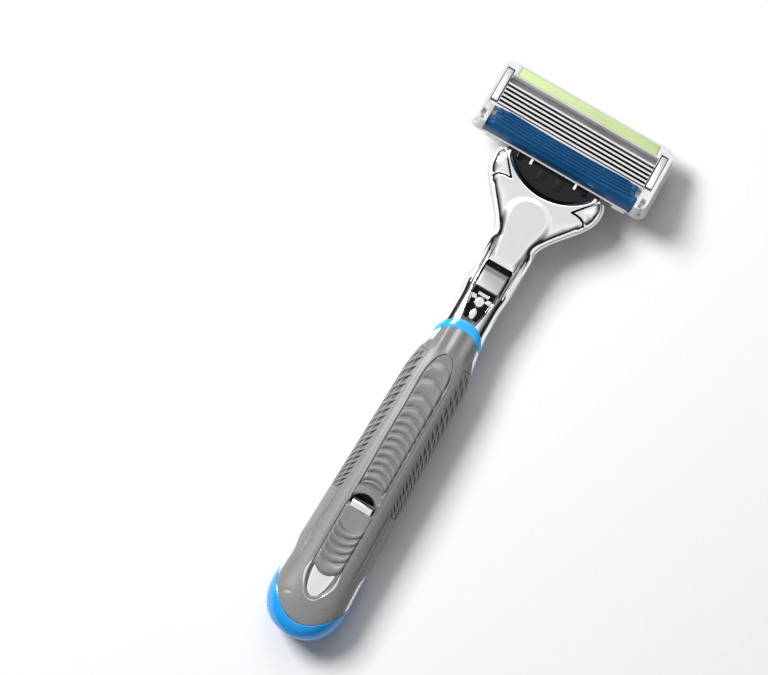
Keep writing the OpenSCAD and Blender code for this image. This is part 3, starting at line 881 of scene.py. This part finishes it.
def close_ends(piece):
    """Fills the open rims of a sheet that is selected and turns its faces outwards."""
    bpy.ops.object.mode_set(mode="EDIT")
    bpy.ops.mesh.select_all(action="SELECT")
    bpy.ops.mesh.fill_holes(sides=0)
    bpy.ops.mesh.select_all(action="SELECT")
    bpy.ops.mesh.normals_make_consistent(inside=False)
    bpy.ops.object.mode_set(mode="OBJECT")


def stud_place(middle, wide, long):
    """A low oval dome on the bar's face."""
    def place(u, v):
        turn = 2 * math.pi * v
        rise = 0.42 * math.sqrt(max(0, 1 - u * u))
        return Vector((wide * u * math.cos(turn), middle + long * u * math.sin(turn), 9.25 + rise))
    return place


# Painted highlight: two polished domes that stand in for white glints on the black bar.
for label, middle, wide, long in (("upper", 81.35, 1.12, 1.32), ("lower", 78.4, 0.85, 1.42)):
    stud = sheet(f"window_highlight_stud_{label}", 16, 32, stud_place(middle, wide, long), joined=True)
    close_ends(stud)
    wear_on(stud, "ejector", polished, "chrome")

hooks = {
    "bridge": ([(-1.2, 82.65), (1.2, 82.65), (1.3, 83.35), (-1.3, 83.35)], 10.6, polished),
    "jaw_right": ([(0.95, 81.6), (2.1, 81.45), (2.35, 82.55), (1.35, 82.5)], 10.1, casing_silver),
    "bar_right": ([(2.0, 80.0), (2.22, 79.95), (2.65, 82.3), (2.38, 82.3)], 10.3, polished),
}
for label in ("jaw", "bar"):
    outline, top, paint = hooks[f"{label}_right"]
    hooks[f"{label}_left"] = (mirrored(outline), top, paint)
for label, (outline, top, paint) in hooks.items():
    hook = prism(f"button_{label}", outline, 9.2, top, chamfer=0.1)
    wear_on(hook, "ejector", paint, "chrome")

# ---------------------------------------------------------------------------
# Release button: a satin silver thumb plate, slightly dished, snapped on to the
# ejector bar; pushed towards the head it throws the cartridge off.
satin_silver = finish("satin_silver", (0.5, 0.5, 0.5), 0.3, metal=0.8, grain=900, bump=0.06, mottle=0.04,
                      wear=0.05)
key_half, key_low, key_long, key_top, key_round = 2.8, 84.1, 4.85, 11.55, 0.35


def button_place(u, v):
    x = key_half * (2 * v - 1)
    s = key_low + key_long * u
    z = key_top - 0.35 * math.sin(math.pi * u) + 0.3 * smooth((u - 0.7) / 0.3) - 0.12 * (x / key_half) ** 2
    inside = min(key_half - abs(x), s - key_low, key_low + key_long - s)
    edge = 1 - smooth(inside / key_round)
    return Vector((x, s, z - 0.8 * edge * edge))


release_key = sheet("release_key", 50, 50, button_place, thick=0.7)
wear_on(release_key, "ejector", satin_silver, "satin_grey", "release_button")

# ---------------------------------------------------------------------------
# Cartridge frame: glossy white plastic, moulded in one piece round the blades,
# with a slot at each end for the blade clips and a sloping groove behind them.
face_lean = math.radians(22)
pivot_s, pivot_z, pivot_u, pivot_deep = 116, 9.6, 2.6, 3.4
cart_l, face_half, back_half, corner_r = 15.8, 20.4, 21.4, 2.0
white_plastic = finish("white_plastic", (0.66, 0.665, 0.675), 0.3, coat=0.3, grain=700, bump=0.03,
                       mottle=0.02)


def head(x, u, w):
    """From the leaning face, u up it from the guard's edge and w out of it, to the razor's frame."""
    c, d = math.cos(face_lean), math.sin(face_lean)
    u, w = u - pivot_u, w + pivot_deep
    return Vector((x, pivot_s + u * c + w * d, pivot_z - u * d + w * c))


def to_head(piece):
    """Lays a piece made flat, with u for s and w for z, into the leaning face of the cartridge."""
    for v in piece.data.vertices:
        q = head(v.co.x / MM, v.co.y / MM - butt_end, v.co.z / MM)
        v.co = Vector((q.x, q.y + butt_end, q.z)) * MM
    piece.data.update()


def cut_from(piece, cutters):
    """Takes the cutters away from the piece and clears them."""
    pick(piece)
    for cutter in cutters:
        bite = piece.modifiers.new("bite", "BOOLEAN")
        bite.operation, bite.solver, bite.object = "DIFFERENCE", "EXACT", cutter
        bpy.ops.object.modifier_apply(modifier=bite.name)
        bpy.data.objects.remove(cutter)


def soften(piece, width, segments=2, angle=35):
    """Rounds every sharp edge of a piece a little."""
    pick(piece)
    edge = piece.modifiers.new("edge", "BEVEL")
    edge.width, edge.segments, edge.limit_method = width * MM, segments, "ANGLE"
    edge.angle_limit = math.radians(angle)
    bpy.ops.object.modifier_apply(modifier=edge.name)
    smooth_faces(angle)


def rectangle(x0, x1, s0, s1):
    return [(x0, s0), (x1, s0), (x1, s1), (x0, s1)]


cart_frame = prism("cartridge_frame_body", rectangle(-face_half, face_half, 0.0, cart_l), -5, 0,
                   round_off=corner_r, segments=8)
for v in cart_frame.data.vertices:
    if v.co.z < -2.5 * MM:
        v.co.x *= back_half / face_half
cuts = [
    prism("cut_blades", rectangle(-17.85, 17.85, 4.95, 11.8), -6, 1),
    prism("cut_groove", rectangle(-17.7, 17.7, 11.7, 12.75), -2.4, 1),
    prism("cut_strip", rectangle(-16.9, 16.9, 12.95, 15.35), -0.35, 1, round_off=0.2),
    prism("cut_guard", rectangle(-17.95, 17.95, -1, 4.5), -1.5, 1),
    prism("cut_guard_foot", rectangle(-17.95, 17.95, -1, 0.7), -4.1, 1),
    prism("cut_underside", rectangle(-12.9, 12.9, -1, 3.6), -6, -4.1),
    prism("cut_arms", rectangle(-13.2, 13.2, -1, 4.6), -6, -1.6),
]
end_cuts = {
    "cut_clip": ((17.88, 19.62, 5.04, 13.9), -0.55, 0.08),
    "cut_clip_foot": ((17.9, 19.45, 4.45, 4.95), -0.22, 0),
    "cut_ear": ((18.75, 19.85, 1.15, 2.75), -1.4, 0.2),
    "cut_ear_low": ((18.75, 19.5, 0.35, 1.15), -1.6, 0.1),
    "cut_notch": ((19.5, 21.6, -0.4, 0.45), -3.2, 0.1),
}
for side in (-1, 1):
    for name, (span, bottom, corner) in end_cuts.items():
        cuts.append(prism(name, on_side(rectangle(*span), side), bottom, 1, round_off=corner))
cut_from(cart_frame, cuts)
soften(cart_frame, 0.16)
to_head(cart_frame)
wear_on(cart_frame, "cartridge", white_plastic, "white_plastic", "cartridge_frame")
for label, side in both_sides:
    foot = on_side(rectangle(14, 17.1, -0.42, 1.2), side)
    tab = prism(f"frame_foot_{label}", foot, -5, -4.3, round_off=0.3, chamfer=0.15)
    to_head(tab)
    wear_on(tab, "cartridge", white_plastic, "white_plastic")

# ---------------------------------------------------------------------------
# Blade tray and groove floor: painted shade. A black sheet under the blades and a
# dark sheet in the sloping groove behind them stand in for the shade there, which
# makes the gaps between the blades read black.
gap_shade_black = finish("gap_shade_black", (0.004, 0.004, 0.0045), 0.3, grain=600, bump=0.05, shine=0.2)
tray = prism("blade_shade_tray", rectangle(-17.8, 17.8, 5.0, 11.75), -4.4, -3.3, chamfer=0.2)
to_head(tray)
wear_on(tray, "cartridge", gap_shade_black, "black_plastic")
# Painted shade: a dark grey metal sheet in the groove, where shade falls.
groove_shade_steel = finish("groove_shade_steel", (0.4, 0.4, 0.4), 0.3, metal=0.9, grain=500, mottle=0.12)


def groove_place(u, v):
    x = 17.6 * (2 * v - 1)
    return head(x, 11.72 + 1.18 * u, -1.6 + 1.5 * math.sin(math.pi / 2 * u))


groove = sheet("groove_slope", 10, 60, groove_place, thick=0.12)
wear_on(groove, "cartridge", groove_shade_steel, "black_plastic")

# ---------------------------------------------------------------------------
# Blades: six thin hardened steel strips, each a bright ground edge, held by two
# folded aluminium clips that wrap round the frame's ends.
blade_steel = finish("blade_steel", (0.93, 0.935, 0.94), 0.2, metal=1.0, grain=400, mottle=0.03, wear=0.03)
clip_metal = finish("clip_aluminium", (0.9, 0.9, 0.9), 0.34, metal=0.55, grain=500, mottle=0.02)
first_blade, blade_pitch, blade_half = 5.4, 1.015, 17.8


def along(path, t):
    """The point of a bent line, t from 0 to 1 over its length, and its outward normal."""
    parts = [math.dist(a, b) for a, b in zip(path, path[1:])]
    left = t * sum(parts)
    for (a, b), part in zip(zip(path, path[1:]), parts):
        if left <= part or b == path[-1]:
            k = min(left / part, 1)
            du, dw = (b[0] - a[0]) / part, (b[1] - a[1]) / part
            return a[0] + (b[0] - a[0]) * k, a[1] + (b[1] - a[1]) * k, dw, -du
        left -= part
    return path[-1][0], path[-1][1], 0, -1


def blade_place(n):
    """Blade n of six: a short ground edge, then the strip that runs down behind it."""
    start = first_blade + n * blade_pitch
    bend = [(start, -0.32), (start + 0.35, -0.17), (start + 0.41, -0.25), (start + 1.3, -2.55)]

    def place(u, v):
        r, w, _, _ = along(bend, u)
        return head(blade_half * (2 * v - 1), r, w)
    return place


for n in range(6):
    edge = sheet(f"blade_strip_{n + 1}", 24, 40, blade_place(n), thick=0.08, crease=25)
    wear_on(edge, "cartridge", blade_steel, "blade_steel", f"blade_{n + 1}")

for label, side in both_sides:
    plan = on_side(rectangle(18.14, 19.46, 5.52, 13.5), side)
    clip = prism(f"clip_{label}_band", plan, -4.9, 0.1, round_off=0.12, chamfer=0.12)
    to_head(clip)
    wear_on(clip, "cartridge", clip_metal, "clip_metal", f"clip_{label}")
    # Painted shade: a black pit round each clip, for the shaded gap between clip and frame.
    gap = on_side(rectangle(17.9, 19.6, 5.06, 13.88), side)
    pit = prism(f"clip_{label}_slot", gap, -0.6, -0.3)
    to_head(pit)
    wear_on(pit, "cartridge", gap_shade_black, "black_plastic")

# ---------------------------------------------------------------------------
# Guard: dark blue rubber moulded on to the frame below the blades, with six
# bowed fins, a small round knob at each end and a deep rounded foot, under which
# the frame's white edge shows.
guard_blue = finish("guard_blue", (0.005, 0.072, 0.19), 0.34, grain=900, bump=0.04, mottle=0.08, shine=0.32)
guard_path = [(4.5, -0.6), (4.5, 0.02), (4.35, 0.12), (3.0, 0.05), (1.6, -0.1), (0.7, -0.5),
              (0.18, -1.2), (0.0, -2.0), (0.0, -3.6), (0.3, -4.0), (0.8, -4.0)]
guard_half, foot_extra = 16.95, 0.95
fins_at = (4.12, 3.42, 2.74, 2.06, 1.4, 0.78)
fin_tall, fin_thin = 0.42, 0.13


def guard_place(t, v):
    """The rubber's skin, t along its cross-section and v across the head."""
    u, w, _, nw = along(guard_path, t)
    across = 2 * v - 1
    wide = guard_half + foot_extra * step_in(2.35 - u, 0.25)
    wide -= 1.2 * smooth((-w - 2.4) / 1.6) ** 2
    x = wide * across
    bow = 0.5 * (x / 16) ** 2 * smooth((u - 0.2) / 2)
    fin = sum(fin_tall * hump(u - bow - f, fin_thin) for f in fins_at)
    fin *= smooth((15.9 - abs(x)) / 0.5) if u > 2.4 else smooth((16.6 - abs(x)) / 0.4)
    if w > -0.02:
        nw = 1
    drop = 0.5 * smooth((abs(across) - 0.985) / 0.015)
    return head(x, u, w + fin * max(nw, 0.4) - 0.12 - drop)


guard_comb = sheet("guard_comb", 220, 150, guard_place, thick=0.35)
wear_on(guard_comb, "cartridge", guard_blue, "guard_rubber", "guard")
edge_bar = prism("frame_guard_edge", rectangle(-17.3, 17.3, -0.26, 0.3), -4.08, -3.8, round_off=0.12)
to_head(edge_bar)
wear_on(edge_bar, "cartridge", white_plastic, "white_plastic")
for label, side in both_sides:
    plan = on_side(rectangle(15.6, 16.9, 3.05, 4.55), side)
    knob = prism(f"guard_knob_{label}", plan, -0.6, 0.32, round_off=0.35, chamfer=0.22)
    to_head(knob)
    wear_on(knob, "cartridge", guard_blue, "guard_rubber")

# ---------------------------------------------------------------------------
# Lubricating strip: a bar of pale yellow-green water-soluble plastic, slightly
# rough and finely speckled, set into the frame above the blades.
strip_green = finish("strip_green", (0.56, 0.69, 0.34), 0.55, grain=350, bump=0.4, mottle=0.05, shine=0.25)
strip_bar = prism("lubricating_bar", rectangle(-16.8, 16.8, 13.0, 15.3), -0.4, 0.08,
                  round_off=0.12, chamfer=0.14)
to_head(strip_bar)
wear_on(strip_bar, "cartridge", strip_green, "strip", "lubricating_strip")

# ---------------------------------------------------------------------------
# Connector: the black block that clips into the yoke and carries the pivot arms;
# its moulded core stays as modelled, with small moulded details on its face.
connector_black = finish("connector_black", (0.006, 0.006, 0.0065), 0.3, grain=800, bump=0.08, shine=0.25)
bright_white = finish("tick_white", (0.9, 0.9, 0.9), 0.3, grain=600)
for label, side in both_sides:
    plan = on_side(rectangle(5.05, 5.6, 111.9, 113.3), side)
    tick = prism(f"connector_tick_{label}", plan, 8.0, 9.75, chamfer=0.1)
    wear_on(tick, "connector", bright_white, "white_plastic")
    plan = on_side(rectangle(1.2, 2.9, 109.7, 112.2), side)
    rib = prism(f"connector_rib_{label}", plan, 9.0, 9.55, round_off=0.3, chamfer=0.15)
    wear_on(rib, "connector", connector_black, "black_plastic")

# ---------------------------------------------------------------------------
# Inner parts: the core, the ejector's spring, the plunger and the connector stay
# as they were designed, each in its own finish. A black nose in front of the connector
# is painted shade that fills the shaded gap under the guard, and a finely wound coil
# stands for the plunger's spring.
# Painted shade: a black block that fills the shaded gap between the connector and the guard's foot.
nose = prism("connector_shade_nose", rectangle(-8.5, 8.5, 111.5, 114.15), 4.6, 7.35, chamfer=0.25)
wear_on(nose, "connector", connector_black, "black_plastic")
spring_steel = finish("spring_steel", (0.6, 0.6, 0.6), 0.25, metal=1.0, grain=500)
coil_low, coil_high, coil_z, coil_r, wire_r, coil_turns = 85.05, 90.95, 5.84, 1.2, 0.17, 6


def coil_place(u, v):
    turn, ring = 2 * math.pi * coil_turns * u, 2 * math.pi * v
    s = coil_low + wire_r + (coil_high - coil_low - 2 * wire_r) * u + wire_r * math.sin(ring)
    r = coil_r + wire_r * math.cos(ring)
    return Vector((r * math.cos(turn), s, coil_z + r * math.sin(turn)))


coil = sheet("plunger_coil", 240, 8, coil_place, joined=True)
close_ends(coil)
wear_on(coil, "handle", spring_steel, "spring_steel", "plunger_spring")
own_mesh(coil)
core_metal = finish("core_metal", (0.4, 0.4, 0.41), 0.4, metal=1.0, grain=600, mottle=0.1)
plunger_black = finish("plunger_black", (0.008, 0.008, 0.0085), 0.35, grain=700, bump=0.05, shine=0.25)
kept = {"handle_core": core_metal, "ejector_spring": spring_steel,
        "plunger": plunger_black, "connector": connector_black}
for node, paint in kept.items():
    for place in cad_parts[node].material_slots:
        place.material = paint

bpy.context.view_layer.update()
